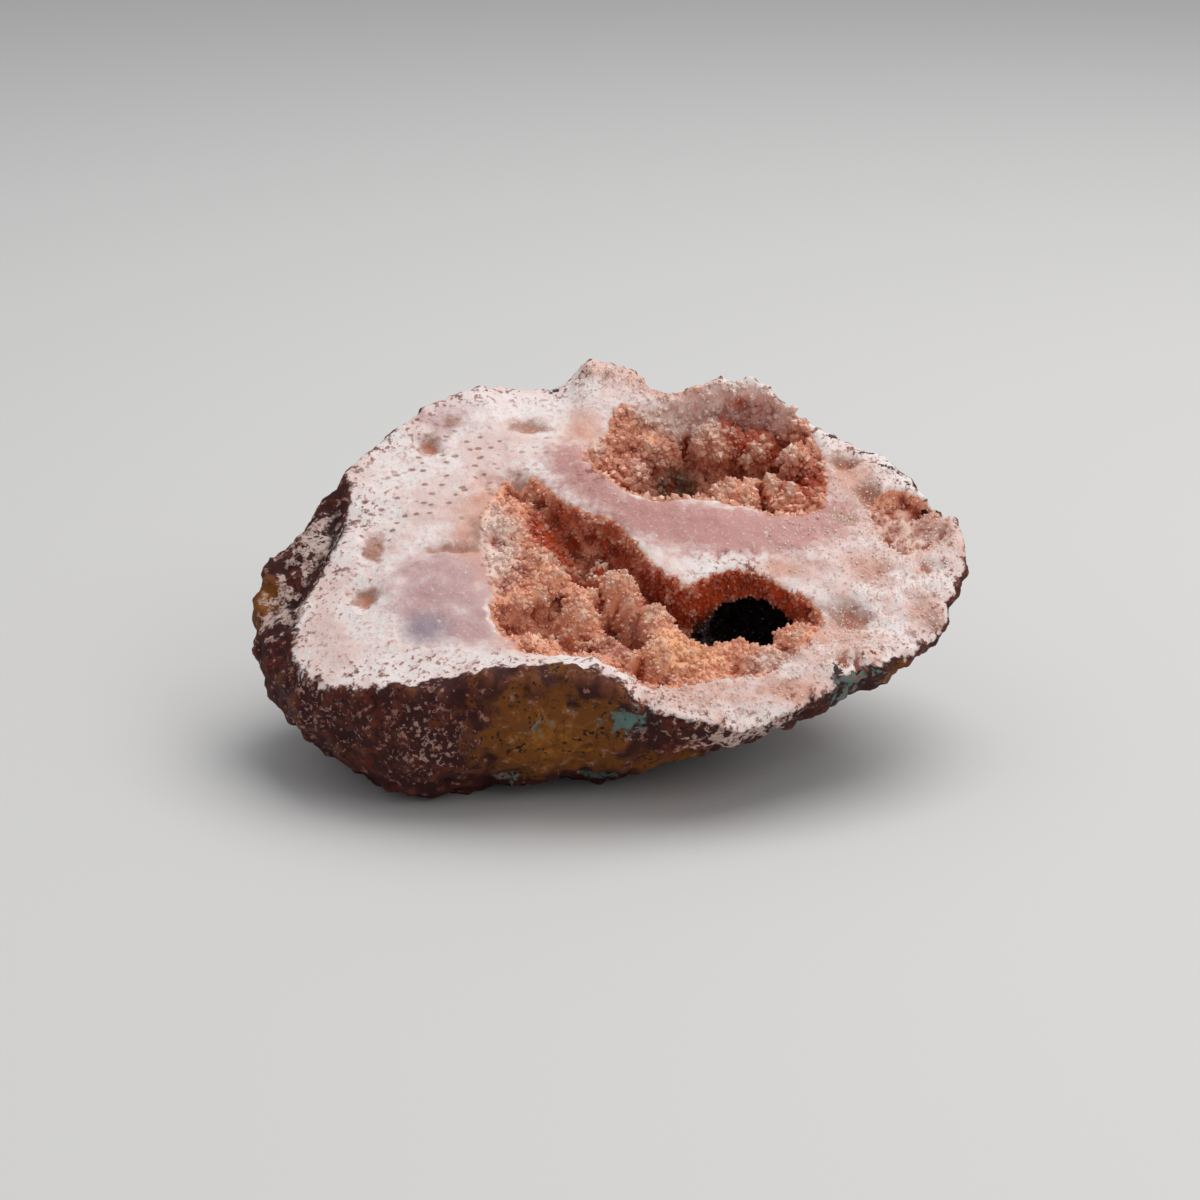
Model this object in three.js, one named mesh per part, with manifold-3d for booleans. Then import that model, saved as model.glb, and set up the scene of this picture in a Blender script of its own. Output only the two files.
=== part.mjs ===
// Half of a broken pink amethyst geode: one stone, with a weathered skin below and a broken
// face above that opens into two crystal pockets. Millimetres, +Z up. X runs along the stone,
// Y from its low front rim to its high back rim, and Z = 0 is the flat patch it rests on. The
// finished stone is moved along X and Y so that the middle of its outline is over the origin.

import * as THREE from "three";
import { mergeVertices } from "three/addons/utils/BufferGeometryUtils.js";
import Module from "manifold-3d";

// Edge between the broken face and the skin, from the left end over the back and round.
const RIM = [
  [-51.3, -6, 24.2], [-50.8, -2, 28.1], [-50.2, 1.5, 30.8], [-45.9, 4.5, 31.6],
  [-42.9, 9, 36.1], [-38.8, 14, 39.2], [-34.1, 18, 42.1], [-30.5, 21, 44.2],
  [-26.2, 25, 46.4], [-20.2, 28, 47.5], [-12.5, 29.5, 46.5], [-7.6, 30.5, 46.5],
  [-4.3, 31, 50.2], [-0.9, 31.5, 51.2], [2.2, 31.5, 50.4], [6.1, 31, 46.7],
  [10.5, 30.5, 46], [15.6, 30, 47.9], [19.1, 29.5, 48.5], [22.9, 28.5, 48.2],
  [27, 26, 45.4], [31.5, 23.5, 42.6], [37.9, 20.5, 39.6], [42.2, 18, 38.6],
  [45.1, 14, 36.1], [48.8, 9, 33.7], [51.9, 4, 33], [51.8, -2, 28.9], [49, -7, 26.1],
  [48.3, -11, 23], [44.5, -16.5, 20.5], [39.5, -20, 19.5], [33.8, -23.5, 19],
  [28, -27, 16.8], [18, -31.5, 14], [11.8, -32, 16], [5, -32, 17.6],
  [-3, -31.3, 21.6], [-15.4, -31, 21.2], [-27, -29, 19.5], [-37, -25.5, 18.3],
  [-45, -18.5, 19.5],
];

// Broken face, away from its rim: a crowned plane that leans towards the front.
const FACE_HEIGHT = 33;
const FACE_SLOPE = 0.45;
const FACE_CROWN = 0.0016;

// Middle of the flat patch under the stone.
const REST_X = -11;
const REST_Y = -1;

// Skin below the rim, by direction in degrees round from +X: radius and height of its belt
// half-way down, and radius of the resting patch about its own middle.
const SKIN = [
  { to: 0, belt: 42, height: 16, rest: 23 },
  { to: 22.5, belt: 42.5, height: 19, rest: 22 },
  { to: 45, belt: 36, height: 22, rest: 19 },
  { to: 67.5, belt: 32.5, height: 22, rest: 16.5 },
  { to: 90, belt: 32, height: 22, rest: 16 },
  { to: 112.5, belt: 32.5, height: 21, rest: 17 },
  { to: 135, belt: 36.5, height: 20, rest: 20 },
  { to: 157.5, belt: 43, height: 18, rest: 23 },
  { to: 180, belt: 50, height: 14, rest: 24.5 },
  { to: 202.5, belt: 49, height: 11.5, rest: 27 },
  { to: 225, belt: 41, height: 8, rest: 27 },
  { to: 247.5, belt: 30.5, height: 9, rest: 18 },
  { to: 270, belt: 27, height: 9, rest: 15.5 },
  { to: 292.5, belt: 27.5, height: 8, rest: 16 },
  { to: 315, belt: 29.5, height: 10, rest: 15 },
  { to: 337.5, belt: 37, height: 13.5, rest: 18 },
];

// How far the skin and the face stand off their smooth shapes, and how far apart the bumps are.
const SKIN_ROUGHNESS = 0.8;
const SKIN_WAVELENGTH = 9;
const FACE_ROUGHNESS = 0.7;
const FACE_WAVELENGTH = 8;

// Mesh density: steps from one listed rim point to the next, and rings of each surface.
const RIM_STEPS = 3;
const FACE_RINGS = 13;
const SKIN_RINGS = 8;
const REST_RINGS = 2;

// Swells and dips of the broken face: centre x, y; half widths x, y; height; turn in degrees.
const RELIEF = [
  { at: [-2, 10], size: [9, 3.5], height: 1.6, turn: -35 },
  { at: [12, 3], size: [11, 4], height: 1.8, turn: -8 },
  { at: [-28, -8], size: [9, 7], height: 1.0, turn: 0 },
  { at: [34, -4], size: [8, 7], height: 1.4, turn: 0 },
  { at: [40, 6], size: [6, 3.5], height: -2.2, turn: -20 },
  { at: [-26, 20], size: [5, 3], height: -1.2, turn: 40 },
];

// Pockets of the broken face. Each outline point is x, y and how steep the wall below it is:
// 0 is a gentle slope, 1 a round bowl, and more than 1 is undercut.
const FRONT_POCKET = {
  outline: [
    [-16, 12.3, 0.3], [-11.4, 10, 0.8], [-6.8, 4.8, 1.2], [0, 1.1, 1.5], [3.4, -3.1, 1.6],
    [6.2, -7.5, 1.6], [11.1, -10.5, 1.6], [16, -7.6, 1.7], [20, -7.5, 1.7],
    [25.3, -10.8, 1.7], [28.8, -12.2, 1.4], [29.5, -15.5, 1.2], [27.5, -19.5, 1],
    [22, -24.4, 0.9], [14.8, -26, 0.6], [6.5, -28.2, 0.8], [1, -25.7, 1.2],
    [-5.1, -23.4, 1.3], [-12, -23.3, 1.4], [-16, -17.5, 1.3], [-18.5, -10, 0.4],
    [-20.6, -3, 0.1], [-20, 5, 0.1],
  ],
  floor: [8, -14],
  depth: 12.5,
};
const BACK_POCKET = {
  outline: [
    [-4.2, 14, 0.5], [-2, 21, 0.3], [2.5, 25.7, 0.3], [9.1, 27.5, 0.5], [16, 28.2, 0.8],
    [23.7, 27.5, 0.9], [29, 24.6, 0.8], [32.4, 18.5, 0.6], [33.6, 12, 0.4], [31.5, 6, 0.5],
    [25, 3.6, 0.6], [19.5, 5.2, 0.9], [13, 5.9, 1.2], [6.4, 4.8, 1.3], [1.3, 7.7, 1.2],
  ],
  floor: [13, 16],
  depth: 13,
};
const END_HOLLOW = {
  outline: [
    [38.4, 9.8, 1], [42, 12, 1.2], [46.5, 10.6, 1], [49.5, 7, 0.6], [49, 2, 0.4],
    [44.5, -1.4, 0.5], [40.5, -0.4, 0.8], [38.5, 4.5, 1.2],
  ],
  floor: [43, 6],
  depth: 4.5,
};
const POCKET_STEPS = 2;
const POCKET_RINGS = 8;
const POCKET_ROUGHNESS = 1.2;
const POCKET_WAVELENGTH = 5;

// Share of a pocket's outline that its floor keeps, and how far above the face a cut starts.
const POCKET_FLOOR = 0.25;
const ABOVE_FACE = 10;

// Tunnel that runs on from the front pocket into the stone: centre, half sizes, turn about Z.
const TUNNEL = { at: [21.5, -2, 18.5], half: [8, 10, 6], turn: -10, rough: 0.8, detail: 5 };

// Crystal-covered knobs that stand on the floor of the front pocket: centre, half sizes.
const KNOBS = [
  { at: [-4.6, -11.5, 19.5], half: [3.4, 3.6, 7.2] },
  { at: [1.6, -8, 19.5], half: [3.2, 3.2, 9] },
  { at: [-9.5, -19.5, 17.5], half: [5, 4, 4.6] },
  { at: [10.5, -20.5, 15], half: [7, 6, 6.2] },
  { at: [3, -17, 14], half: [4, 4, 5.5] },
  { at: [19.5, -13, 14], half: [6, 3, 4.6] },
  { at: [26, -12.5, 18.5], half: [2.6, 3, 5] },
];
const KNOB_ROUGHNESS = 0.5;
const KNOB_DETAIL = 3;

const wasm = await Module();
wasm.setup();

// Value noise from -1 to 1, smooth, with features about one unit wide.
function lattice(i, j, k) {
  const s = Math.sin(i * 127.1 + j * 311.7 + k * 74.7) * 43758.5453;
  return 2 * (s - Math.floor(s)) - 1;
}

function noise(x, y, z) {
  const corner = [x, y, z].map(Math.floor);
  const [u, v, w] = [x, y, z].map((t, axis) => {
    const f = t - corner[axis];
    return f * f * (3 - 2 * f);
  });
  let sum = 0;
  for (let n = 0; n < 8; n++) {
    const [a, b, c] = [n & 1, (n >> 1) & 1, n >> 2];
    const share = (a ? u : 1 - u) * (b ? v : 1 - v) * (c ? w : 1 - w);
    sum += share * lattice(corner[0] + a, corner[1] + b, corner[2] + c);
  }
  return sum;
}

// Two sizes of unevenness, in millimetres, at a point of the stone.
function unevenness(p, amount, wavelength) {
  const [x, y, z] = [p.x, p.y, p.z].map((t) => t / wavelength);
  return amount * (0.7 * noise(x, y, z) + 0.3 * noise(2.1 * x + 9, 2.1 * y, 2.1 * z));
}

function facePlane(x, y) {
  return FACE_HEIGHT + FACE_SLOPE * y - FACE_CROWN * x * x;
}

function relief(x, y) {
  return RELIEF.reduce((sum, { at, size, height, turn }) => {
    const angle = THREE.MathUtils.degToRad(turn);
    const dx = x - at[0];
    const dy = y - at[1];
    const along = (dx * Math.cos(angle) + dy * Math.sin(angle)) / size[0];
    const across = (dy * Math.cos(angle) - dx * Math.sin(angle)) / size[1];
    return sum + height * Math.exp(-along * along - across * across);
  }, 0);
}

// Point of the broken face at a share of the way from its middle to a rim point.
function facePoint(rim, share) {
  const p = new THREE.Vector3(rim.x * share, rim.y * share, 0);
  const rimLift = rim.z - facePlane(rim.x, rim.y);
  const inner = 1 - share ** 6;
  p.z = facePlane(p.x, p.y) + rimLift * share ** 4 + inner * relief(p.x, p.y);
  p.z += inner * unevenness(p, FACE_ROUGHNESS, FACE_WAVELENGTH);
  return p;
}

// Belt and resting patch in a given direction, between the listed ones.
function skinTowards(angle) {
  const step = 360 / SKIN.length;
  const at = THREE.MathUtils.euclideanModulo(THREE.MathUtils.radToDeg(angle), 360) / step;
  const first = Math.floor(at);
  const pick = (offset) => SKIN[(first + offset + SKIN.length) % SKIN.length];
  const t = at - first;
  const weights = [
    (-t + 2 * t * t - t ** 3) / 2,
    (2 - 5 * t * t + 3 * t ** 3) / 2,
    (t + 4 * t * t - 3 * t ** 3) / 2,
    (t ** 3 - t * t) / 2,
  ];
  const blend = (key) => weights.reduce((sum, w, i) => sum + w * pick(i - 1)[key], 0);
  return { belt: blend("belt"), height: blend("height"), rest: blend("rest") };
}

function restPoint(rim, share) {
  const angle = Math.atan2(rim.y, rim.x);
  const radius = share * skinTowards(angle).rest;
  const x = REST_X + radius * Math.cos(angle);
  const y = REST_Y + radius * Math.sin(angle);
  return new THREE.Vector3(x, y, 0);
}

// Point of the skin, from the rim at share 0 to the edge of the resting patch at share 1.
function skinPoint(rim, share) {
  const angle = Math.atan2(rim.y, rim.x);
  const outward = new THREE.Vector3(Math.cos(angle), Math.sin(angle), 0);
  const { belt, height } = skinTowards(angle);
  const middle = outward.clone().multiplyScalar(belt).setZ(height);
  const foot = restPoint(rim, 1);
  const control = middle.clone().multiplyScalar(2).sub(rim.clone().add(foot).multiplyScalar(0.5));
  const p = new THREE.QuadraticBezierCurve3(rim, control, foot).getPoint(share);
  const bump = unevenness(p, SKIN_ROUGHNESS, SKIN_WAVELENGTH);
  return p.addScaledVector(outward, bump * Math.sin(Math.PI * share));
}

// Closed surface from rings of points, one above the next, with a middle point at each end.
function solidOfRings(rings, first, last) {
  const points = [first, ...rings.flat(), last];
  const count = rings[0].length;
  const index = [];
  for (let i = 0; i < count; i++) {
    const next = (i + 1) % count;
    index.push(0, 1 + next, 1 + i);
    for (let r = 0; r < rings.length - 1; r++) {
      const [a, b] = [1 + r * count + i, 1 + r * count + next];
      index.push(a, b, b + count, a, b + count, a + count);
    }
    const base = 1 + (rings.length - 1) * count;
    index.push(base + i, base + next, points.length - 1);
  }
  const geometry = new THREE.BufferGeometry().setFromPoints(points);
  geometry.setIndex(index);
  return geometry;
}

// A three.js geometry as a manifold-3d solid.
function toManifold(geometry) {
  const bare = geometry.clone();
  bare.deleteAttribute("normal");
  bare.deleteAttribute("uv");
  const merged = mergeVertices(bare, 1e-4);
  return new wasm.Manifold(
    new wasm.Mesh({
      numProp: 3,
      vertProperties: new Float32Array(merged.attributes.position.array),
      triVerts: new Uint32Array(merged.index.array),
    }),
  );
}

// A rounded lump: an ellipsoid with an uneven surface.
function lump({ at, half, turn = 0, rough, detail }) {
  const geometry = new THREE.IcosahedronGeometry(1, detail);
  const position = geometry.attributes.position;
  const centre = new THREE.Vector3(...at);
  const axis = new THREE.Vector3(0, 0, 1);
  for (let i = 0; i < position.count; i++) {
    const unit = new THREE.Vector3().fromBufferAttribute(position, i);
    const p = unit.clone().multiply(new THREE.Vector3(...half));
    p.applyAxisAngle(axis, THREE.MathUtils.degToRad(turn)).add(centre);
    p.addScaledVector(unit, unevenness(p, rough, POCKET_WAVELENGTH));
    position.setXYZ(i, p.x, p.y, p.z);
  }
  return toManifold(geometry);
}

// Points on a closed smooth curve through the listed ones, which are all on it.
function closedCurve(listed, steps) {
  const points = listed.map((p) => new THREE.Vector3(...p));
  const curve = new THREE.CatmullRomCurve3(points, true, "centripetal");
  return curve.getPoints(points.length * steps).slice(0, -1);
}

// Space of a pocket: from above the face, in through its outline and down to its floor.
function pocketSpace({ outline, floor, depth }) {
  const inward = new THREE.Vector3(0, FACE_SLOPE, -1).normalize();
  const middle = new THREE.Vector3(...floor, 0);
  const edge = closedCurve(outline, POCKET_STEPS);
  const placed = (from, toFloor, down) => {
    const p = from.clone().setZ(0).lerp(middle, toFloor);
    p.z = facePlane(p.x, p.y);
    p.addScaledVector(inward, down);
    if (down <= 0) return p;
    const wobble = unevenness(p, POCKET_ROUGHNESS, POCKET_WAVELENGTH);
    return p.addScaledVector(inward, wobble);
  };
  const wallPoint = (p, share) => {
    const bowlIn = 1 - Math.cos((share * Math.PI) / 2);
    const bowlDown = Math.sin((share * Math.PI) / 2);
    const steepness = Math.min(p.z, 1);
    const down = steepness * bowlDown + (1 - steepness) * share * share;
    const toFloor = p.z * bowlIn + (1 - p.z) * share;
    return placed(p, (1 - POCKET_FLOOR) * toFloor, depth * down);
  };
  const rings = [edge.map((p) => placed(p, 0, -ABOVE_FACE))];
  for (let r = 0; r <= POCKET_RINGS; r++) {
    rings.push(edge.map((p) => wallPoint(p, r / POCKET_RINGS)));
  }
  return toManifold(solidOfRings(rings, placed(middle, 0, -ABOVE_FACE), placed(middle, 0, depth)));
}

function stoneBody() {
  const rim = closedCurve(RIM, RIM_STEPS);
  const rings = [];
  for (let r = 1; r <= FACE_RINGS; r++) {
    rings.push(rim.map((p) => facePoint(p, r / FACE_RINGS)));
  }
  for (let r = 1; r <= SKIN_RINGS; r++) {
    rings.push(rim.map((p) => skinPoint(p, r / SKIN_RINGS)));
  }
  for (let r = REST_RINGS - 1; r >= 1; r--) {
    rings.push(rim.map((p) => restPoint(p, r / REST_RINGS)));
  }
  const middle = facePoint(new THREE.Vector3(0, 0, FACE_HEIGHT), 0);
  const under = new THREE.Vector3(REST_X, REST_Y, 0);
  return toManifold(solidOfRings(rings, middle, under));
}

function geodeSolid() {
  let stone = stoneBody();
  for (const pocket of [FRONT_POCKET, BACK_POCKET, END_HOLLOW]) {
    stone = stone.subtract(pocketSpace(pocket));
  }
  stone = stone.subtract(lump(TUNNEL));
  for (const knob of KNOBS) {
    stone = stone.add(lump({ ...knob, rough: KNOB_ROUGHNESS, detail: KNOB_DETAIL }));
  }
  return stone;
}

// A solid as a three.js geometry, with the middle of its outline over the origin.
function centredGeometry(solid) {
  const { vertProperties, triVerts } = solid.getMesh();
  const geometry = new THREE.BufferGeometry();
  geometry.setAttribute("position", new THREE.BufferAttribute(vertProperties, 3));
  geometry.setIndex(new THREE.BufferAttribute(triVerts, 1));
  geometry.computeVertexNormals();
  geometry.computeBoundingBox();
  const middle = geometry.boundingBox.getCenter(new THREE.Vector3());
  return geometry.translate(-middle.x, -middle.y, 0);
}

const quartz = new THREE.MeshStandardMaterial({
  color: 0xdfc0b8,
  roughness: 0.7,
  metalness: 0,
});

const stone = new THREE.Mesh(centredGeometry(geodeSolid()), quartz);
stone.name = "geode_half";

const part = new THREE.Group();
part.add(stone);

export default part;
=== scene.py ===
from math import radians

import bpy
import numpy as np
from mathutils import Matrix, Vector, noise
from mathutils.bvhtree import BVHTree
from mathutils.kdtree import KDTree


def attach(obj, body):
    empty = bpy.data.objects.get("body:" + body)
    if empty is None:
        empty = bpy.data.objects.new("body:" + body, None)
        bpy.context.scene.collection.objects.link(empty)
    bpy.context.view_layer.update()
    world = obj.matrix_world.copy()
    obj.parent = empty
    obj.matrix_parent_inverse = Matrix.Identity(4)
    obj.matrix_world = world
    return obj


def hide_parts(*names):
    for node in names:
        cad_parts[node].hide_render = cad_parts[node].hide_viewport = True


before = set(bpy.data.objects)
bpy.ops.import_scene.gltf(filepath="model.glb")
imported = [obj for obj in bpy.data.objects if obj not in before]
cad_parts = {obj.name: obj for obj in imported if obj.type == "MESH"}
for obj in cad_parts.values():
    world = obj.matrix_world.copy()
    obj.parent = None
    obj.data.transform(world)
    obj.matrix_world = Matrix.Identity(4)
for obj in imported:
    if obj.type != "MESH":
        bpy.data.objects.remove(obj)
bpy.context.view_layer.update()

# The camera: a normal lens about a third of a metre from the stone, looking 20 degrees down on
# its broken face. Sizes and places are in millimetres, apart from the lamps and the floor.
MM = 0.001
CAMERA_PLACE = (-1.5, -345.8, 147.5)
LOOK_DOWN = 20
camera = bpy.data.objects.new("camera", bpy.data.cameras.new("camera"))
bpy.context.collection.objects.link(camera)
camera.data.lens = 50
camera.data.sensor_width = 24
camera.data.clip_start = 0.01
camera.location = Vector(CAMERA_PLACE) * MM
camera.rotation_euler = (radians(90 - LOOK_DOWN), 0, 0)
bpy.context.scene.camera = camera

# The stone's own face: a crowned plane that leans towards the front, where the geode broke.
# Inward is the direction from that face into the stone.
FACE_HEIGHT = 33.4
FACE_SLOPE = 0.45
FACE_CROWN = 0.0016
INWARD = np.array([0, FACE_SLOPE, -1]) / np.hypot(FACE_SLOPE, 1)


def depth_below_face(points):
    """How far points lie below the broken face, along its inward direction."""
    x, y, z = points.T
    face = FACE_HEIGHT + FACE_SLOPE * y - FACE_CROWN * x * x
    return (face - z) * -INWARD[2]


def on_face(points):
    """X and Y of the places on the face that lie straight above points in the stone."""
    return (points - depth_below_face(points)[:, None] * INWARD)[:, :2]


# The stone's shape. Half a geode, broken by hand: quartz grew inwards from a rind of weathered
# lava, and left pockets open. The lumps, each a middle and a radius, are knobs in the pockets
# where crystals grew together.
LUMPS = [
    (1.1, -9.3, 26.6, 2.9), (-0.4, -9.9, 25.2, 2.0), (2.6, -10.6, 24.4, 2.0), (1.2, -8.2, 22.4, 3.2),
    (-4.5, -13.4, 22.9, 2.8), (-6.0, -13.2, 21.8, 2.3), (-3.0, -14.4, 21.6, 2.2),
    (-4.6, -12.6, 19.5, 3.2), (-3.9, -9.6, 25.2, 2.1), (-4.4, -9.0, 22.4, 2.8),
    (-8.4, -6.9, 27.6, 2.4), (-9.9, -4.2, 29.0, 2.2), (-10.6, -9.0, 25.8, 2.4),
    (-8.9, -19.6, 20.6, 2.6), (-11.8, -19.0, 21.2, 2.4), (-6.6, -20.2, 19.6, 2.2),
    (-3.4, -22.4, 20.0, 2.3), (-0.2, -17.6, 20.6, 2.0), (2.3, -20.6, 19.8, 2.0),
    (0.4, -20.6, 18.8, 2.2), (7.4, -20.6, 19.8, 3.4), (10.0, -19.4, 19.8, 3.2),
    (8.4, -17.0, 20.6, 2.8), (12.6, -21.4, 18.6, 2.6), (14.8, -19.6, 19.2, 2.6),
    (6.1, -14.0, 23.0, 2.8), (5.4, -11.2, 21.6, 3.2), (18.1, -18.2, 20.2, 2.3),
    (20.6, -19.6, 19.4, 2.2), (16.0, -17.2, 19.4, 2.3), (24.3, -15.2, 20.8, 1.9),
    (26.8, -16.6, 21.6, 2.3), (23.0, -18.6, 19.0, 2.5), (10.0, -12.6, 16.5, 3.2),
    (18.2, 11.0, 33.2, 3.4), (14.0, 13.0, 30.6, 3.0), (23.4, 14.6, 33.4, 3.2),
    (16.4, 25.4, 38.2, 3.2), (27.4, 11.0, 33.0, 2.6), (22.6, 24.4, 37.4, 2.8),
    (3.2, 17.4, 35.0, 2.6), (6.4, 22.8, 37.8, 2.4), (28.4, 19.0, 37.2, 2.4),
    (-14.4, 2.4, 31.4, 2.2), (-1.6, -2.4, 26.6, 2.0), (-13.4, -11.6, 25.0, 2.0),
    (49.2, 6.6, 30.4, 1.9),
]
REMESH_SIZE = 1.07
SMOOTH_TURNS = 2
SAME_POINT = 0.001

bpy.ops.object.select_all(action="DESELECT")
stone = bpy.data.objects.new("stone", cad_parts["geode_half"].data.copy())
bpy.context.collection.objects.link(stone)
bpy.context.view_layer.objects.active = stone
stone.select_set(True)
bpy.ops.object.mode_set(mode="EDIT")
bpy.ops.mesh.select_all(action="SELECT")
bpy.ops.mesh.remove_doubles(threshold=SAME_POINT * MM)
bpy.ops.object.mode_set(mode="OBJECT")
for x, y, z, radius in LUMPS:
    bpy.ops.mesh.primitive_ico_sphere_add(
        subdivisions=3, radius=radius * MM, location=Vector((x, y, z)) * MM
    )
    stone.select_set(True)
    bpy.context.view_layer.objects.active = stone
    bpy.ops.object.join()


def add_modifier(obj, kind, **settings):
    """Adds a modifier with its settings, and applies it."""
    modifier = obj.modifiers.new(kind.lower(), kind)
    for name, value in settings.items():
        setattr(modifier, name, value)
    bpy.context.view_layer.objects.active = obj
    bpy.ops.object.modifier_apply(modifier=modifier.name)


add_modifier(stone, "REMESH", mode="VOXEL", voxel_size=REMESH_SIZE * MM)
add_modifier(stone, "SMOOTH", factor=0.5, iterations=SMOOTH_TURNS)
add_modifier(stone, "SUBSURF", levels=1, render_levels=1)

# The stone's zones, which the relief and the colours follow: the pockets, the tunnel that runs on
# from the front one, and the skin. Their edges on the face are outlines of X and Y.
FRONT_EDGE = [
    (-16, 11.4), (-11.4, 9), (-6.8, 4), (0.2, 0.2), (3.6, -4), (6.4, -8.4), (11.3, -11.4),
    (16.2, -8.5), (20.2, -8.4), (25.5, -11.7), (29, -13.1), (29.7, -16.4), (27.7, -20.4),
    (22.2, -25.3), (15, -26.9), (6.7, -29.1), (1.2, -26.6), (-4.9, -24.3), (-11.8, -24.2),
    (-15.8, -18.4), (-18.3, -10.9), (-20.4, -3.9), (-19.8, 4.1),
]
BACK_EDGE = [
    (-4, 13.1), (-1.8, 20.1), (2.7, 24.8), (9.3, 26.6), (16.2, 27.3), (23.9, 26.6), (29.2, 23.7),
    (32.6, 17.6), (33.8, 11.1), (31.7, 5.1), (25.2, 2.7), (19.7, 4.3), (13.2, 5), (6.6, 3.9),
    (1.5, 6.8),
]
END_EDGE = [
    (38.6, 8.9), (42.2, 11.1), (46.7, 9.7), (49.7, 6.1), (49.2, 1.1), (44.7, -2.3), (40.7, -1.3),
    (38.7, 3.6),
]
LEFT_SKIN = [
    (-39.7, 12.6), (-38.3, 7.9), (-38.8, 1), (-40.6, -3.6), (-44.3, -10.5), (-44.8, -17.8),
    (-43.1, -23.4), (-50, -30), (-60, -10), (-56, 8), (-45, 20),
]
FRONT_SKIN = [
    (-52, -20), (-43.1, -22.6), (-36.5, -26.9), (-28.8, -28), (-22, -28.3), (-15.2, -27.6),
    (-7, -27.2), (-1.5, -28), (2.6, -31), (5.9, -33.6), (11.9, -34.4), (18, -35), (24.2, -31.6),
    (29.9, -27.4), (34.5, -23), (41.1, -20), (46.4, -16.6), (56, -16), (50, -60), (-50, -60),
]
TUNNEL_MIDDLE = np.array([21.7, -2.9, 18.5])
TUNNEL_SIZE = np.array([8, 10, 6])
TUNNEL_REACH = 1.9
POCKET_DEPTH = 15
KNOB_RISE = 1
UNDERCUT = 3.5
STEEP_REACH = 6
TUNNEL_PAST_EDGE = 8
WALL_IN_SIGHT = 30
# The most that a pocket's wall, and the stone's skin, can look out of the face: 1 is straight.
SLANT_OF_WALL = 0.75
SLANT_OF_SKIN = 0.52


def points_of(obj):
    flat = np.empty(len(obj.data.vertices) * 3)
    obj.data.vertices.foreach_get("co", flat)
    return flat.reshape(-1, 3) / MM


def normals_of(obj):
    flat = np.empty(len(obj.data.vertices) * 3)
    obj.data.vertex_normals.foreach_get("vector", flat)
    return flat.reshape(-1, 3)


def inside_outline(footprint, outline):
    """Distance inside a closed outline of (x, y) points, negative outside."""
    corners = np.array(outline, float)
    nearest = np.full(len(footprint), np.inf)
    inside = np.zeros(len(footprint), bool)
    for start, end in zip(corners, np.roll(corners, -1, axis=0)):
        run = end - start
        to_point = footprint - start
        share = np.clip(to_point @ run / (run @ run), 0, 1)
        gap = np.linalg.norm(to_point - share[:, None] * run, axis=1)
        nearest = np.minimum(nearest, gap)
        spans = (start[1] > footprint[:, 1]) != (end[1] > footprint[:, 1])
        crossing = start[0] + run[0] * (footprint[:, 1] - start[1]) / (run[1] or 1e-9)
        inside ^= spans & (footprint[:, 0] < crossing)
    return np.where(inside, nearest, -nearest)


def pocket_points(points, normals, faces_a_wall, outline):
    """Which points belong to the pocket with this outline: its floor, its knobs and its walls."""
    depth = depth_below_face(points)
    footprint = on_face(points)
    within = inside_outline(footprint, outline)
    step = 0.1
    towards_x = inside_outline(footprint + [step, 0], outline) - within
    towards_y = inside_outline(footprint + [0, step], outline) - within
    level = normals - (normals @ INWARD)[:, None] * INWARD
    looks_in = towards_x * level[:, 0] + towards_y * level[:, 1] > 0
    facing = normals @ -INWARD
    # These limits are millimetres inside the outline and below the face.
    floor_or_knob = (within > 0.3) & (depth > 0.9) | (within > 1.2) & (depth > -KNOB_RISE)
    undercut_wall = (within > -UNDERCUT) & looks_in & (depth > 2)
    lip_wall = (within > -0.6) & looks_in & (facing < SLANT_OF_WALL)
    steep_wall = (within > -STEEP_REACH) & looks_in & (facing < SLANT_OF_SKIN) & (depth > 0.5)
    inner = (depth < POCKET_DEPTH) & ((facing > 0) | faces_a_wall)
    return inner & (floor_or_knob | undercut_wall | lip_wall | steep_wall)


def distance_to(points, members):
    """Distance from every point to the nearest member point."""
    chosen = np.flatnonzero(members)
    tree = KDTree(len(chosen))
    for index, point in zip(chosen, points[chosen]):
        tree.insert(point, index)
    tree.balance()
    return np.array([tree.find(point)[2] for point in points])


def rough(points, size, octaves, shift=0.0):
    """Uneven field from about -1 to 1, with bumps of this size in millimetres."""
    places = points / size + shift
    return np.array([noise.fractal(Vector(p), 1.0, 2.0, octaves) for p in places])


def smooth_step(value, low, high):
    share = np.clip((value - low) / (high - low), 0, 1)
    return share * share * (3 - 2 * share)


points = points_of(stone)
normals = normals_of(stone)
walls = BVHTree.FromObject(stone, bpy.context.evaluated_depsgraph_get())
faces_a_wall = np.array(
    [
        walls.ray_cast(
            Vector(point) * MM + Vector(normal) * MM, Vector(normal), WALL_IN_SIGHT * MM
        )[0]
        is not None
        for point, normal in zip(points, normals)
    ]
)
in_front = pocket_points(points, normals, faces_a_wall, FRONT_EDGE)
in_back = pocket_points(points, normals, faces_a_wall, BACK_EDGE)
in_end = pocket_points(points, normals, faces_a_wall, END_EDGE)
depth = depth_below_face(points)
footprint = on_face(points)
reach = np.linalg.norm((points - TUNNEL_MIDDLE) / TUNNEL_SIZE, axis=1)
looks_in = ((TUNNEL_MIDDLE - points) * normals).sum(axis=1) > 0
in_tunnel = (reach < TUNNEL_REACH) & looks_in & (depth > 2)
near_front = inside_outline(footprint, FRONT_EDGE) > -TUNNEL_PAST_EDGE
in_tunnel |= near_front & faces_a_wall & (depth > 2.5) & ~in_front
in_pocket = in_front | in_back | in_end | in_tunnel
on_skin = ~in_pocket & (normals @ -INWARD < SLANT_OF_SKIN)

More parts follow.
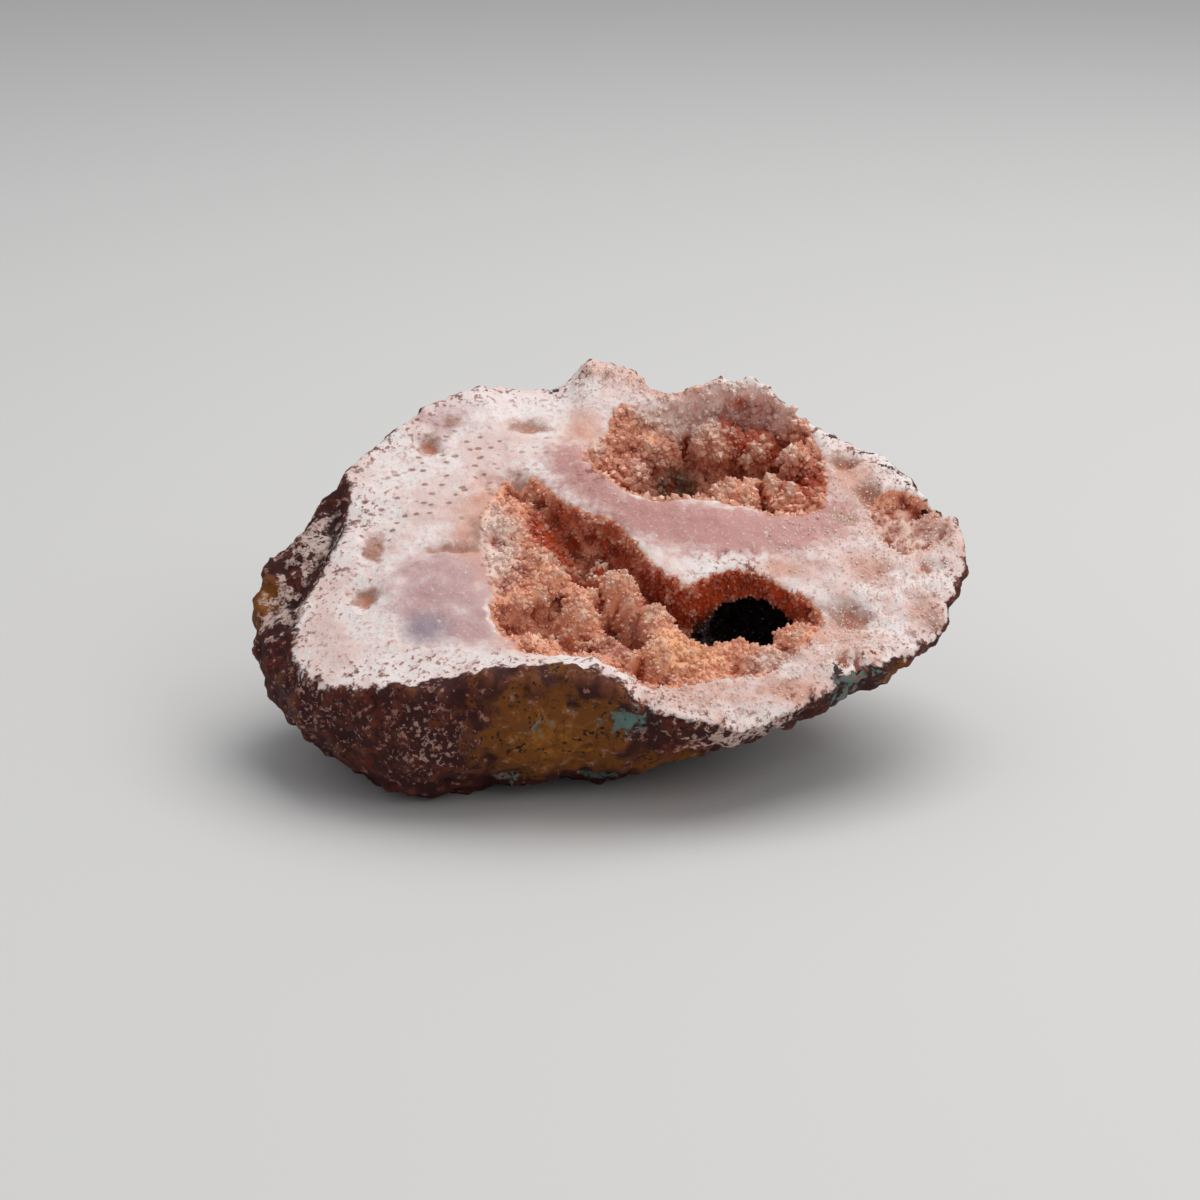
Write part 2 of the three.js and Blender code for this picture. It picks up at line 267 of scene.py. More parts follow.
# Lip is how far inside a pocket's edge a point lies, and edge how far it lies past the rim on the
# skin: both are negative outside. The skin's edge is ragged, because it flaked when it broke.
FLAKE_SIZE = 3.5
FLAKE_REACH = 1.3
lip = np.where(in_pocket, distance_to(points, ~in_pocket), -distance_to(points, in_pocket))
edge = np.where(on_skin, distance_to(points, ~on_skin), -distance_to(points, on_skin))
left_step = inside_outline(footprint, LEFT_SKIN)
front_step = inside_outline(footprint, FRONT_SKIN)
front_step += FLAKE_REACH * rough(points, FLAKE_SIZE, 3, 1.3)
edge = np.maximum(np.maximum(edge, left_step), front_step)

# Where the stone changes: soft-edged places, each a middle and a half size. The quartz took up
# iron as it grew, and clay and other minerals settled on the skin.
PLACES = {
    # Where a pocket runs out into the face without an edge.
    "soft": [
        ((-18, -3, 31), (7, 13, 9)), ((14, 29, 45), (20, 4, 6)), ((-4, 19, 41), (4, 7, 6)),
        ((44, 4, 31), (9, 8, 7)), ((24, -22, 22), (8, 3.5, 5)), ((16, 26, 43), (18, 3.5, 5)),
    ],
    # Banded chalcedony, with its densest part, and the ridge between the pockets.
    "lilac": [
        ((-24, -10, 27), (9, 9, 10)), ((-25, 22, 42), (6, 4, 5)), ((-18, -18, 24), (8, 5, 6)),
    ],
    "rose": [
        ((-6, 13, 38.5), (5, 5, 5)), ((-2, 7, 36), (5, 4.2, 5)), ((5, 1.2, 34.5), (6, 4.4, 5)),
        ((14, -1.6, 33), (9, 5.6, 5)), ((25, -1.0, 32), (8, 5, 5)), ((33, 5, 33), (5, 6, 5)),
    ],
    "blue": [((-26, -18, 24), (4, 3.4, 5))],
    # Face quartz stained by iron.
    "peach": [
        ((-16, 4, 34), (7, 9, 7)), ((-18, -6, 30), (6, 9, 7)), ((-4, 20, 41), (4, 6, 5)),
        ((36, 13, 36), (4, 6, 6)), ((44, 3, 31), (8, 6, 6)), ((30, -17, 23), (5, 4, 6)),
        ((45, -12, 25), (4, 4, 4)), ((37, -6, 28), (4, 3, 4)), ((26, -27, 19), (5, 2.5, 4)),
        ((25, -7.6, 29.3), (4.5, 2.2, 4)), ((14, -29, 20), (10, 3.5, 4)),
        ((8, 29, 46), (10, 3, 4)), ((-13, -21, 22), (6, 3.5, 4)),
    ],
    # Pinholes, and specks of the skin on the face.
    "holes": [((-20, 12, 38), (13, 13, 9)), ((-34, 3, 31), (6, 10, 8))],
    "spots": [
        ((-38, -12, 26), (9, 9, 9)), ((-30, -24, 21), (13, 5, 6)), ((-34, 8, 34), (7, 8, 6)),
        ((-5, 30, 46), (10, 4, 5)), ((10, -30, 19), (12, 4, 5)),
    ],
    # Sugary quartz, pits stained brown, the white band beside a pocket, and black seams.
    "crust": [
        ((42, 0, 30), (13, 18, 14)), ((30, -20, 21), (16, 7, 7)), ((24, 30, 46), (22, 5, 6)),
        ((0, 29, 49), (8, 4, 5)), ((8, -31, 18), (16, 3.5, 5)),
    ],
    "tan": [
        ((-34.4, -1.6, 30), (1.9, 3.4, 3)), ((-34.9, -10.8, 26), (2.4, 1.8, 3)),
        ((-27.2, 16.7, 39), (2.4, 2.4, 3)), ((-14.1, 7.7, 36), (3, 3, 3.5)),
        ((-12.4, 20.1, 42), (3.2, 1.8, 2)), ((35.4, 15.6, 38), (2.2, 2, 3)),
        ((38.7, 9.9, 35), (2.2, 2.8, 3)), ((33.9, -14, 25), (3.4, 2.2, 3)),
        ((42.4, 1.5, 31), (2.0, 2.8, 3)), ((-18, 0, 32), (2.5, 3.5, 4)),
        ((-24, 20.5, 42), (2.4, 1.4, 2)), ((-23, -3.6, 30), (4.4, 1, 3)),
        ((34.6, 3.5, 33), (2.6, 2.6, 3)), ((46, -13, 24), (2, 2, 3)),
    ],
    "cream": [
        ((49, 0, 29), (3, 4, 4)), ((-18, -18, 26), (7, 7, 7)), ((7, 6, 35), (10, 6, 5)),
        ((5, -5, 30), (8, 5, 6)),
    ],
    "ink": [
        ((34.4, 20.5, 40.7), (2.4, 0.7, 1.2)), ((38.6, 17.6, 38.8), (2.6, 0.6, 1.2)),
        ((42.2, 15, 37.2), (2.6, 0.6, 1.2)), ((45.3, 12.7, 35.7), (2, 0.6, 1.2)),
        ((46.5, 8.3, 33.5), (2.6, 0.7, 1.2)), ((51, 5.8, 31.9), (1.6, 0.9, 1.4)),
        ((35.4, -24, 19), (1.5, 1.8, 2)), ((-9, 28.5, 46), (2.4, 1.2, 1.6)),
        ((31.5, -24, 20), (1.2, 3, 2)),
    ],
    # Clay and iron on the skin, and where it is bleached or flecked.
    "ochre": [
        ((-8, -29, 13), (13, 8, 10)), ((-50, -6, 24), (3, 5, 5)), ((9, -22, 5), (6, 6, 4)),
        ((41, -19, 16), (4, 3, 4)), ((-20, 33, 25), (14, 8, 10)), ((25, 28, 20), (12, 8, 8)),
        ((-30, 0, 2), (14, 12, 4)),
    ],
    "rust": [
        ((-44, 10, 32), (7, 5, 6)), ((-36, 15, 36), (5, 4, 5)), ((12, -28, 10), (8, 6, 6)),
        ((30, 5, 5), (14, 14, 8)), ((-30, 25, 30), (8, 8, 8)),
    ],
    "pale": [
        ((-43, 2, 31), (6, 8, 6)), ((-47, -10, 24), (4, 6, 6)), ((18, -29, 14), (12, 5, 6)),
        ((45, 20, 20), (8, 8, 8)), ((-10, 30, 12), (12, 6, 6)),
    ],
    "flecked": [((-40, -22, 14), (12, 12, 12)), ((-24, -30, 12), (8, 6, 9))],
    # Stains inside the pockets, and painted shade where the back pocket is deepest.
    "iron": [
        ((-2, 0, 29), (7, 4.5, 6)), ((8, -6.5, 25), (7, 4.5, 6)), ((17, -7, 25), (8, 5, 6)),
        ((25, -11, 23), (5, 4, 5)), ((23, 22.5, 38.5), (6, 4, 5)), ((29, 14, 34), (5, 6, 6)),
        ((20, 26, 42), (4, 2.5, 4)), ((-9, 4, 32), (4, 4, 5)), ((-10, -16, 20), (4, 3, 4)),
    ],
    "mauve": [
        ((10, 17, 34), (10, 9, 9)), ((0.6, -19, 21), (3, 3, 3)), ((5, -13, 23), (4, 3, 3)),
        ((44, 4, 31), (6, 6, 5)),
    ],
    # A greenish stain, darkened as painted shade where the back pocket is deepest.
    "moss_and_shade": [((10.6, 22.8, 32.2), (4.8, 4.6, 5))],
    "gold": [((10, -20.5, 21), (6, 4.5, 5))],
    # Thin green-blue crusts on the skin.
    "teal": [
        ((-35.3, 12.4, 37.4), (2, 1.6, 1.6)), ((2.5, -31.5, 15.5), (4, 2.4, 2.6)),
        ((-1.5, -21, 2.5), (4, 3, 2.6)), ((-15, -23, 5), (3, 3, 2)), ((36, -24, 16), (8, 5, 5)),
        ((-38, 20, 24), (5, 4, 4)), ((10, 32, 24), (5, 3, 4)), ((8, 4, 1), (6, 5, 2)),
        ((-42, 1, 31), (4, 4, 4)), ((-9, -33, 14), (6, 2, 2)), ((-48, 8, 28), (3, 3, 3)),
    ],
}


def blob(points, centre, size):
    """1 in the middle of a soft-edged ellipsoid, falling to 0 well outside it."""
    reach = (points - np.array(centre)) / np.array(size)
    return np.exp(-(reach**2).sum(axis=1))


fields = {
    name: np.clip(sum(blob(points, middle, size) for middle, size in spots), 0, 1)
    for name, spots in PLACES.items()
}

# The stone's relief, as it grew and weathered. The skin is lumpy, the crust is sugary and the
# broken face is nearly smooth. Swells and grains have these widths. Their heights are in the sums.
SKIN_SWELL = 6
SKIN_LUMP = 2.9
CRUST_SWELL = 3.2
CRUST_GRAIN = 2.2
FACE_SWELL = 8
FACE_GRAIN = 2.2
WALL_SWELL = 2.4
WALL_GRAIN = 1.9
BRINK_WIDTH = 0.9
BRINK_GRAIN = 1.5
LIP_WANDER = 0.35
LIP_WANDER_SIZE = 1.7
LEFT_STEP_DEPTH = 1.6
PIT_WANDER = 0.8
PIT_WANDER_SIZE = 2.3
# Pits of the broken face: middle, half sizes along X and Y, depth.
PITS = [
    (-34.4, -1.6, 1.7, 3.0, 1.2), (-34.9, -10.8, 2.1, 1.6, 1.5), (-27.2, 16.7, 1.9, 1.6, 1.6),
    (-29.8, 22.3, 1.0, 0.8, 0.6), (-12.4, 20.1, 2.6, 1.2, 0.9), (-14.1, 7.7, 2.0, 2.0, 1.4),
    (-23, -3.6, 3.8, 0.8, 0.9), (35.4, 15.6, 1.8, 1.5, 2.0), (38.7, 9.9, 1.4, 2.0, 2.0),
    (41.3, 2.3, 1.1, 3.4, 1.6), (33.9, -14, 2.8, 1.8, 2.8), (46.3, 8.5, 1.6, 0.7, 1.2),
    (34.2, -23, 0.7, 2.2, 2.4), (32.4, -21.6, 0.6, 1.8, 1.8), (-18.5, 9, 1.2, 1.6, 0.8),
    (-16.4, -1.5, 1.6, 2.2, 0.9), (28.6, -1.6, 2.2, 1.2, 0.5), (37.6, -7.5, 2.4, 1.6, 0.8),
    (42.4, 1.5, 1.3, 2.4, 2.8), (45.6, -3.5, 2.0, 1.2, 1.0), (30.5, -26, 1.6, 1.0, 0.8),
]
# Dark gaps between the knobs of the pockets, in the same order.
GAPS = [
    (-5.9, -5.2, 1.4, 2.0, 4.5), (0.4, -13.6, 1.3, 1.6, 4.0), (-5.6, -20.9, 1.6, 1.2, 3.2),
    (3.9, -24.0, 0.9, 2.0, 2.8), (-1.6, -11.4, 0.8, 1.8, 2.6), (-8.4, -15.6, 2.6, 1.3, 3.0),
    (3.6, -16.4, 1.0, 2.4, 2.6), (15.5, -14.6, 2.4, 1.2, 2.6), (22.8, 11.2, 0.8, 3.4, 4.0),
    (12.0, 24.2, 1.1, 2.6, 2.6), (19.2, 18.4, 1.4, 2.2, 2.6), (-2.4, -4.2, 2.6, 1.2, 2.6),
    (10.2, 18.8, 3.0, 2.4, 2.5), (-2.6, -17.4, 2.0, 0.9, 2.4), (20.2, -16.4, 0.9, 1.6, 1.8),
    (28.2, 14.6, 1.2, 1.6, 2.2),
]


def cells(points, size):
    """Rounded grains of this size in millimetres: 0 in the middle of a grain, about 1 between."""
    return np.array([noise.voronoi(Vector(p))[0][0] for p in points / size])


skin_share = smooth_step(edge, -0.4, 1.6)
lip += LIP_WANDER * rough(points, LIP_WANDER_SIZE, 2, 5.5)
near_lip = np.exp(-((lip / BRINK_WIDTH) ** 2)) * (1 - skin_share)
fields["brink"] = np.exp(-(((lip + 0.4) / 0.8) ** 2)) * fields["cream"]
lip *= 1 - 0.9 * fields["soft"]
wall_share = smooth_step(lip, 0, 1.2)
crust_share = (1 - skin_share) * (1 - wall_share) * fields["crust"]
plain_share = (1 - skin_share) * (1 - wall_share) * (1 - fields["crust"])
lift = skin_share * (
    1.3 * rough(points, SKIN_SWELL, 4) - 1.2 * (cells(points, SKIN_LUMP) - 0.45)
)
lift += crust_share * (
    0.7 * rough(points, CRUST_SWELL, 3, 9.1) - 0.8 * (cells(points, CRUST_GRAIN) - 0.4)
)
lift += plain_share * (
    0.2 * rough(points, FACE_GRAIN, 3, 4.3) + 0.3 * rough(points, FACE_SWELL, 2, 2.2)
)
lift += wall_share * (
    0.5 * rough(points, WALL_SWELL, 3, 7.7) - 0.7 * (cells(points, WALL_GRAIN) - 0.4)
)
lift += near_lip * 0.4 * rough(points, BRINK_GRAIN, 2, 3.1)
points = points + lift[:, None] * normals
points += (LEFT_STEP_DEPTH * smooth_step(left_step, 0, 2.5))[:, None] * INWARD
footprint = on_face(points)
wander_x = PIT_WANDER * rough(points, PIT_WANDER_SIZE, 2, 6.1)
wander_y = PIT_WANDER * rough(points, PIT_WANDER_SIZE, 2, 8.3)
depth = depth_below_face(points)
for places, share in ((PITS, 1 - skin_share), (GAPS, wall_share)):
    for x, y, half_x, half_y, pit_depth in places:
        across = (footprint[:, 0] - x + wander_x) / half_x
        along = (footprint[:, 1] - y + wander_y) / half_y
        points += (pit_depth * np.exp(-(across**2) - along**2) * share)[:, None] * INWARD
points[:, 2] = np.maximum(points[:, 2], 0)
stone.data.vertices.foreach_set("co", (points * MM).ravel())
stone.data.update()
bpy.ops.object.select_all(action="DESELECT")
stone.select_set(True)
bpy.context.view_layer.objects.active = stone
bpy.ops.object.shade_smooth()


def hollow_of(obj, points, turns):
    """How far points lie below their evened-out surroundings: negative on tops and edges."""
    pairs = np.empty(len(obj.data.edges) * 2, int)
    obj.data.edges.foreach_get("vertices", pairs)
    one, other = pairs.reshape(-1, 2).T
    neighbours = np.bincount(pairs, minlength=len(points))[:, None]
    even = points
    for _ in range(turns):
        around = np.stack(
            [
                np.bincount(one, even[other, axis], len(points))
                + np.bincount(other, even[one, axis], len(points))
                for axis in range(3)
            ],
            axis=1,
        )
        even = (even + around / neighbours) / 2
    return ((even - points) * normals_of(obj)).sum(axis=1)


def store(obj, name, values):
    """Keeps a field as an attribute, which the materials read."""
    attribute = obj.data.attributes.new(name, "FLOAT", "POINT")
    attribute.data.foreach_set("value", values.astype(np.float32))


EVENING_TURNS = 24
fields["lip"] = lip
fields["edge"] = edge
# Depth in the tunnel, which the materials paint as shade, near black where it runs deep.
fields["deep"] = np.where(in_tunnel, depth, 0)
# Hollows and tops, which the materials darken as painted shade and lighten as painted highlight.
fields["hollow"] = hollow_of(stone, points, EVENING_TURNS)
for name, values in fields.items():
    store(stone, name, values)


# The stone's finish. White and pink chalcedony is a little see-through, so light spreads inside
# it. The skin is weathered lava and clay, dull, and stained by iron to maroon, rust and ochre.
def colour(code):
    """An sRGB hex colour as linear red, green and blue."""
    shares = [int(code[i : i + 2], 16) / 255 for i in (1, 3, 5)]
    return [c / 12.92 if c <= 0.04045 else ((c + 0.055) / 1.055) ** 2.4 for c in shares] + [1]


def add_node(tree, kind, inputs, **settings):
    """Adds a node with its settings, and sets or links its inputs by name or number."""
    made = tree.nodes.new(kind)
    for name, value in settings.items():
        setattr(made, name, value)
    for name, value in inputs.items():
        if isinstance(value, bpy.types.NodeSocket):
            tree.links.new(value, made.inputs[name])
        else:
            made.inputs[name].default_value = value
    return made


def new_material(name):
    """An empty node material and its surface shader."""
    material = bpy.data.materials.new(name)
    material.use_nodes = True
    return material, material.node_tree.nodes["Principled BSDF"]


chalcedony, shader = new_material("weathered_chalcedony")
tree = chalcedony.node_tree
place = add_node(tree, "ShaderNodeTexCoord", {}).outputs["Object"]
field = {
    name: add_node(tree, "ShaderNodeAttribute", {}, attribute_name=name).outputs["Fac"]
    for name in fields
}
grain = {
    size: add_node(
        tree,
        "ShaderNodeTexNoise",
        {"Vector": place, "Scale": 1 / (size * MM), "Detail": 4, "Roughness": 0.6},
    ).outputs["Fac"]
    for size in (9, 3.5, 1.6, 0.7)
}


# The next three functions add to the tree of the material that is being made, from its own
# fields and grains. A grain's name is its size in millimetres.
def ragged(value, noise_size, amount, low, high):
    """Share from 0 to 1 as value goes from low to high, with an edge roughened by noise."""
    swing = add_node(tree, "ShaderNodeMath", {0: grain[noise_size], 1: 0.5}, operation="SUBTRACT")
    moved = add_node(
        tree,
        "ShaderNodeMath",
        {0: swing.outputs[0], 1: amount, 2: value},
        operation="MULTIPLY_ADD",
    )
    return add_node(
        tree,
        "ShaderNodeMapRange",
        {"Value": moved.outputs[0], "From Min": low, "From Max": high},
        interpolation_type="SMOOTHSTEP",
    ).outputs["Result"]


def layered(base, layers):
    """Colours laid one over the next, each by its own share."""
    for share, code in layers:
        over = colour(code) if isinstance(code, str) else code
        base = add_node(
            tree, "ShaderNodeMix", {0: share, 6: base, 7: over}, data_type="RGBA"
        ).outputs[2]
    return base


def pocket_colours():
    """Iron stains of the pocket walls, with painted shade in the hollows and deep in the tunnel and
    painted highlight on the knobs' tops, which the crystals share.
    """
    return layered(
        colour("#FBB18D"),
        [
            (ragged(field["mauve"], 3.5, 0.6, 0.2, 0.9), "#D48B73"),
            (ragged(field["gold"], 1.6, 0.6, 0.2, 0.8), "#FBB788"),
            (ragged(field["soft"], 1.6, 0.8, 0.3, 0.9), "#FADACB"),
            (ragged(field["iron"], 1.6, 0.9, 0.3, 0.85), "#CB4F1B"),
            # A greenish stain, darkened as painted shade where the back pocket is deepest.
            (ragged(field["moss_and_shade"], 1.6, 0.7, 0.25, 0.85), "#6A4A2A"),
            # Painted shade: darker orange in the hollows between the knobs; painted highlight: paler
            # on their tops.
            (ragged(field["hollow"], 0.7, 0.25, 0.0, 0.5), "#AE4318"),
            (ragged(field["hollow"], 0.7, 0.25, -0.15, -0.6), "#F6C6AA"),
            (ragged(field["brink"], 1.6, 1.2, 0.4, 1.0), "#F3DDCF"),
            # Painted shade: near black where the tunnel runs deep.
            (ragged(field["deep"], 1.6, 3.0, 5.5, 10), "#240B07"),
        ],
    )


face = layered(
    colour("#F6E9E4"),
    [
        (ragged(grain[9], 3.5, 0.3, 0.44, 0.62), "#EED3CB"),
        (ragged(grain[0.7], 1.6, 0.4, 0.5, 0.66), "#E7C3BA"),
        (ragged(field["peach"], 1.6, 1.0, 0.1, 1.1), "#DDA48E"),
        (ragged(field["lilac"], 3.5, 1.6, 0.1, 1.2), "#C9A19F"),
        (ragged(field["rose"], 1.6, 1.3, 0.2, 0.95), "#CD978F"),
        (ragged(field["blue"], 3.5, 0.4, 0.2, 1.0), "#A8949C"),
        (ragged(field["crust"], 3.5, 2.4, 0.6, 1.4), "#EDC3B3"),
        (ragged(field["tan"], 1.6, 1.3, 0.15, 0.75), "#B58A78"),
        # Painted shade: darker pink in the hollows of the face and its crust.
        (ragged(field["hollow"], 0.7, 0.3, 0.1, 0.5), "#C2816A"),
        (ragged(field["brink"], 1.6, 1.2, 0.4, 1.0), "#F5E4DA"),
        (ragged(grain[0.7], 0.7, 0, 0.55, 0.85), "#FBF1EE"),
    ],
)

# Pinholes of the face: one in about every 2.2 mm, longer than wide, and aslant.
PINHOLE_SPACING = 2.2
PINHOLE_SLANT = -35
PINHOLE_STRETCH = 1.7
slanting = add_node(
    tree,
    "ShaderNodeMapping",
    {
        "Vector": place,
        "Rotation": (0, 0, radians(PINHOLE_SLANT)),
        "Scale": (1, PINHOLE_STRETCH, PINHOLE_STRETCH),
    },
)
pinholes = add_node(
    tree,
    "ShaderNodeTexVoronoi",
    {"Vector": slanting.outputs[0], "Scale": 1 / (PINHOLE_SPACING * MM)},
)
pierced = add_node(
    tree,
    "ShaderNodeMath",
    {
        0: ragged(pinholes.outputs["Distance"], 1.6, 0.4, 0.3, 0.14),
        1: ragged(field["holes"], 3.5, 2.2, 0.2, 0.9),
    },
    operation="MULTIPLY",
).outputs[0]
flecks = add_node(
    tree,
    "ShaderNodeMath",
    {
        0: ragged(grain[0.7], 1.6, 0.8, 0.54, 0.64),
        1: ragged(field["edge"], 3.5, 9, -6.5, 0.5),
    },
    operation="MULTIPLY",
).outputs[0]
face = layered(
    face,
    [
        (pierced, "#B68C80"),
        (ragged(field["spots"], 0.7, 6.0, 1.4, 1.9), "#A87A6C"),
        (flecks, "#87503F"),
        (ragged(field["ink"], 0.7, 2.4, 0.55, 0.8), "#3A2324"),
    ],
)
skin = layered(
    colour("#380E08"),
    [
        (ragged(grain[3.5], 1.6, 0.6, 0.48, 0.62), "#5A1E10"),
        (ragged(field["rust"], 1.6, 3.0, 0.5, 1.0), "#752C13"),
        (ragged(field["ochre"], 3.5, 1.4, 0.3, 0.6), "#754006"),
        (ragged(field["ochre"], 1.6, 2.0, 0.7, 1.2), "#9A5F12"),
        # Painted highlight: paler brown on the tops of the lumps.
        (ragged(field["hollow"], 0.7, 0.6, -0.15, -0.8), "#6E3A22"),
        (ragged(field["teal"], 1.6, 3.4, 0.5, 0.85), "#5C7770"),
        (ragged(field["pale"], 1.6, 4.0, 0.6, 1.0), "#C8ADA3"),
        (ragged(grain[1.6], 0.7, 0.7, 0.6, 0.68), "#94675A"),
        (ragged(field["flecked"], 0.7, 5.0, 1.1, 1.5), "#A98378"),
        # Painted shade: near black in the hollows.
        (ragged(field["hollow"], 0.7, 0.5, 0.1, 0.6), "#240B08"),
        (ragged(grain[0.7], 3.5, 0.7, 0.6, 0.7), "#1E0B08"),
    ],
)
in_wall = ragged(field["lip"], 0.7, 0.5, -0.1, 0.25)
in_skin = ragged(field["edge"], 1.6, 4.0, -0.5, 0.3)
shown = layered(face, [(in_wall, pocket_colours()), (in_skin, skin)])
tree.links.new(shown, shader.inputs["Base Color"])
shader.inputs["IOR"].default_value = 1.54
shader.inputs["Specular IOR Level"].default_value = 0.3
shader.inputs["Subsurface Radius"].default_value = (1.0, 0.55, 0.4)
shader.inputs["Subsurface Scale"].default_value = 1.2 * MM
for socket, on_quartz, on_lava in (("Subsurface Weight", 0.5, 0.0), ("Roughness", 0.5, 0.8)):
    blend = add_node(
        tree, "ShaderNodeMapRange", {"Value": in_skin, "To Min": on_quartz, "To Max": on_lava}
    )
    tree.links.new(blend.outputs["Result"], shader.inputs[socket])
fine = add_node(
    tree, "ShaderNodeBump", {"Height": grain[0.7], "Strength": 0.7, "Distance": 0.25 * MM}
)
coarse = add_node(
    tree,
    "ShaderNodeBump",
    {"Height": grain[1.6], "Normal": fine.outputs[0], "Strength": 0.5, "Distance": 0.4 * MM},
)
dented = add_node(
    tree,
    "ShaderNodeBump",
    {"Height": pierced, "Normal": coarse.outputs[0], "Strength": 0.6, "Distance": 0.3 * MM},
    invert=True,
)
tree.links.new(dented.outputs[0], shader.inputs["Normal"])
stone.data.materials.clear()
stone.data.materials.append(chalcedony)
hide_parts("geode_half")
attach(stone, "root")

# The druse: thousands of small quartz crystals that grew out of the pocket walls, cloudy and
# stained by iron. Each is a short six-sided prism with a pointed end, and its foot is in the wall.
# Its foot, shoulder and tip are heights, for a crystal one unit in radius.
SIDES = 6
FOOT = -0.6
SHOULDER = 0.3
TIP = 1.25
LEAN = 0.4
FEET_APART = 0.12
TALL_OR_SHORT = (0.8, 1.5)
# Stain fields and the fields of painted shade and highlight, which the crystals copy from the wall.
STAINS_AND_PAINTED_SHADE = ("mauve", "gold", "iron", "soft", "moss_and_shade", "hollow", "brink", "deep")


def one_crystal():
    """Corners and faces of a crystal one unit in radius, standing along Z."""
    turns = np.arange(SIDES) * 2 * np.pi / SIDES
    ring = np.stack([np.cos(turns), np.sin(turns), np.zeros(SIDES)], axis=1)
    corners = np.vstack([ring + [0, 0, FOOT], ring + [0, 0, SHOULDER], [[0, 0, TIP]]])
    faces = [list(range(SIDES))[::-1]]
    for i in range(SIDES):
        after = (i + 1) % SIDES
        faces.append([i, after, SIDES + after, SIDES + i])
        faces.append([SIDES + i, SIDES + after, 2 * SIDES])
    return corners, faces


def grow_crystals(name, chance, radius, material, seed):
    """A crust of separate crystals on the stone's points, by each point's chance of one."""
    draw = np.random.default_rng(seed)
    chosen = np.flatnonzero(draw.random(len(points)) < chance)
    count = len(chosen)
    up = normals_of(stone)[chosen] + draw.normal(0, LEAN, (count, 3))
    up /= np.linalg.norm(up, axis=1)[:, None]
    side = np.cross(up, draw.normal(0, 1, (count, 3)))
    side /= np.linalg.norm(side, axis=1)[:, None]
    third = np.cross(up, side)
    size = radius[0] + (radius[1] - radius[0]) * draw.random(count) ** 2
    tall = size * draw.uniform(*TALL_OR_SHORT, count)
    feet = points[chosen] + draw.normal(0, FEET_APART, (count, 3))
    corners, faces = one_crystal()
    placed = (
        feet[:, None]
        + corners[None, :, :1] * (side * size[:, None])[:, None]
        + corners[None, :, 1:2] * (third * size[:, None])[:, None]
        + corners[None, :, 2:] * (up * tall[:, None])[:, None]
    )
    firsts = range(0, count * len(corners), len(corners))
    every = [[first + corner for corner in face] for first in firsts for face in faces]
    mesh = bpy.data.meshes.new(name)
    mesh.from_pydata((placed.reshape(-1, 3) * MM).tolist(), [], every)
    piece = bpy.data.objects.new(name, mesh)
    bpy.context.collection.objects.link(piece)
    for stain_or_shade in STAINS_AND_PAINTED_SHADE:
        store(piece, stain_or_shade, np.repeat(fields[stain_or_shade][chosen], len(corners)))
    mesh.materials.append(material)
    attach(piece, "root")


# Stained quartz has a glassy surface that glints, and lets a little of the light through. It takes
# its colour from the wall that it stands on: iron staining, with painted shade in the hollows and
# deep in the tunnel, and painted highlight on the tops.
QUARTZ_IOR = 1.544
stained, shader = new_material("stained_quartz")
tree = stained.node_tree
place = add_node(tree, "ShaderNodeTexCoord", {}).outputs["Object"]
field = {
    name: add_node(tree, "ShaderNodeAttribute", {}, attribute_name=name).outputs["Fac"]
    for name in STAINS_AND_PAINTED_SHADE
}
grain = {
    size: add_node(
        tree, "ShaderNodeTexNoise", {"Vector": place, "Scale": 1 / (size * MM), "Detail": 3}
    ).outputs["Fac"]
    for size in (3.5, 1.6, 0.7)
}
tinted = layered(pocket_colours(), [(0.08, "#FFF1E6")])
tree.links.new(tinted, shader.inputs["Base Color"])
shader.inputs["Roughness"].default_value = 0.05
shader.inputs["IOR"].default_value = QUARTZ_IOR
shader.inputs["Transmission Weight"].default_value = 0.2

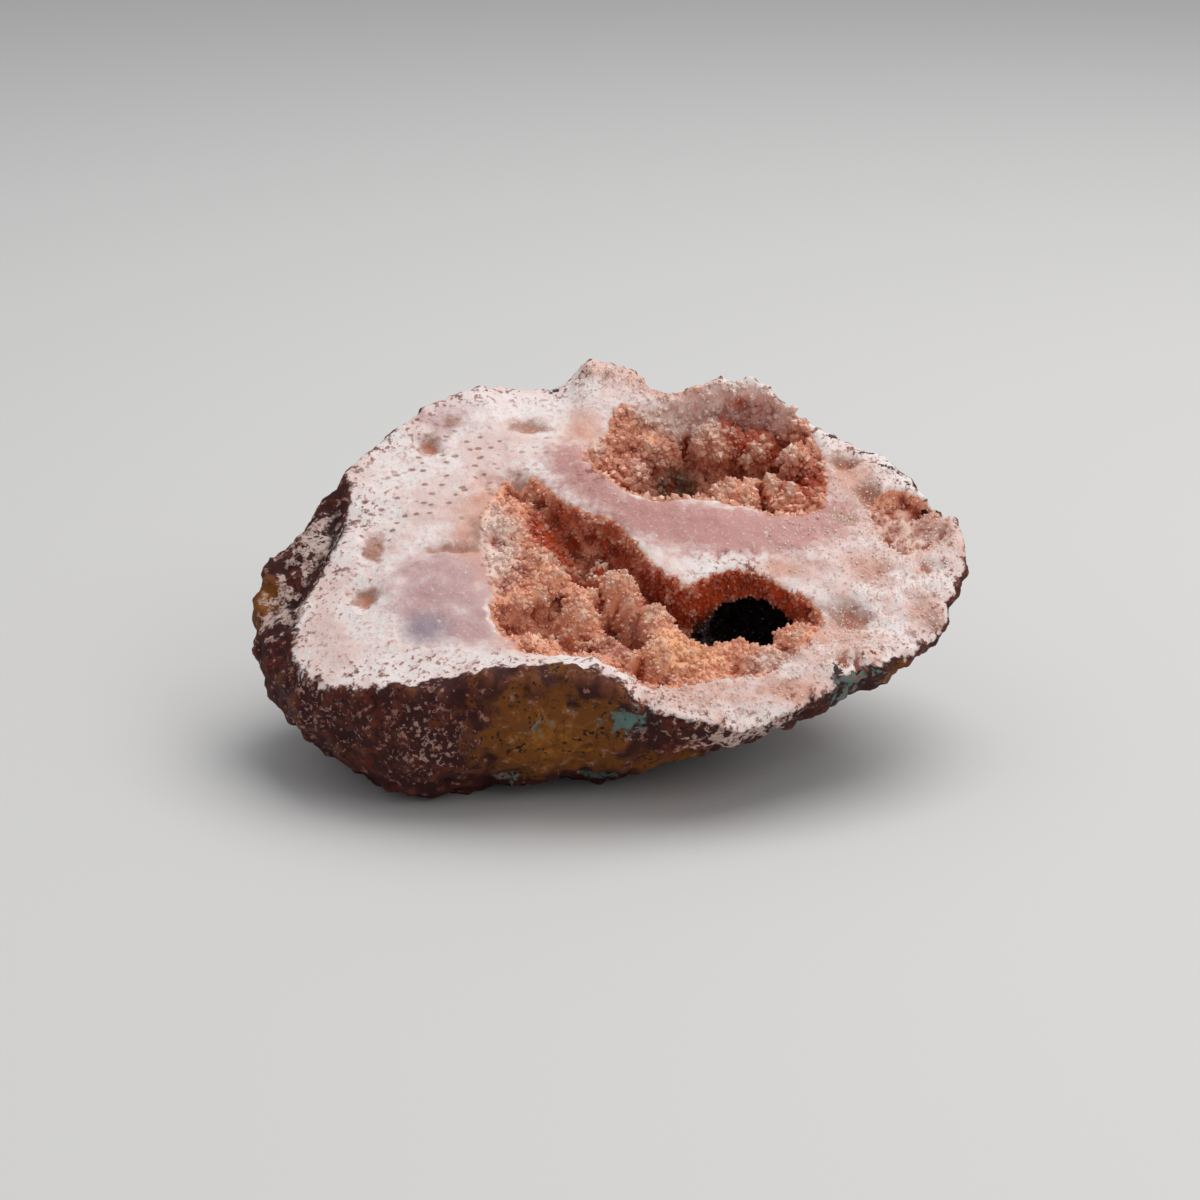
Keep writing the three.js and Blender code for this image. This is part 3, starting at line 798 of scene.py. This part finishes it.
# Milky quartz is full of tiny bubbles, so it is white, and its small grains look duller.
milky, shader = new_material("milky_quartz")
shader.inputs["Base Color"].default_value = colour("#F5E0D7")
shader.inputs["Roughness"].default_value = 0.2
shader.inputs["IOR"].default_value = QUARTZ_IOR

grown = smooth_step(lip, -0.25, 0.7)
beside_pockets = ~in_pocket & ~on_skin
beside_front = beside_pockets & (footprint[:, 0] < -6) & (footprint[:, 1] < 14)
beside_back = beside_pockets & (footprint[:, 0] < 35) & ~beside_front
at_front = in_front & ~in_tunnel | beside_front
sugary = 0.9 * crust_share * smooth_step(-edge, 0.5, 2)
grow_crystals("druse_front", 0.6 * grown * at_front, (0.16, 0.46), stained, 3)
grow_crystals("druse_back", 0.6 * grown * (in_back | beside_back), (0.2, 0.75), stained, 5)
grow_crystals("druse_ends", 0.5 * grown * (in_end | in_tunnel), (0.16, 0.4), stained, 7)
grow_crystals("druse_crust", sugary, (0.09, 0.2), milky, 9)

# The floor and the light: a plain pale floor under one broad soft lamp above the stone and to its
# right, a weak one in front, and an even pale surround. These are in metres.
FLOOR_SIZE = 4
SURROUND_STRENGTH = 0.47
LAMPS = [
    ("above", (0.22, 0.14, 0.78), 0.75, 4.5),
    ("front_right", (0.5, -0.5, 0.6), 0.4, 1.0),
]
AIM = Vector((0, 0, 0.02))
bpy.ops.mesh.primitive_plane_add(size=FLOOR_SIZE, location=(0, 0, 0))
floor = bpy.context.object
floor.name = "floor"
paint, shader = new_material("matt_paint")
shader.inputs["Base Color"].default_value = colour("#DCDAD7")
shader.inputs["Roughness"].default_value = 0.7
floor.data.materials.append(paint)
for name, location, size, power in LAMPS:
    lamp = bpy.data.objects.new(name, bpy.data.lights.new(name, "AREA"))
    bpy.context.collection.objects.link(lamp)
    lamp.data.size = size
    lamp.data.energy = power
    lamp.location = location
    lamp.rotation_euler = (AIM - lamp.location).to_track_quat("-Z", "Y").to_euler()
world = bpy.data.worlds.new("surround")
world.use_nodes = True
world.node_tree.nodes["Background"].inputs["Color"].default_value = colour("#E6E9EE")
world.node_tree.nodes["Background"].inputs["Strength"].default_value = SURROUND_STRENGTH
bpy.context.scene.world = world
bpy.context.scene.view_settings.view_transform = "Standard"
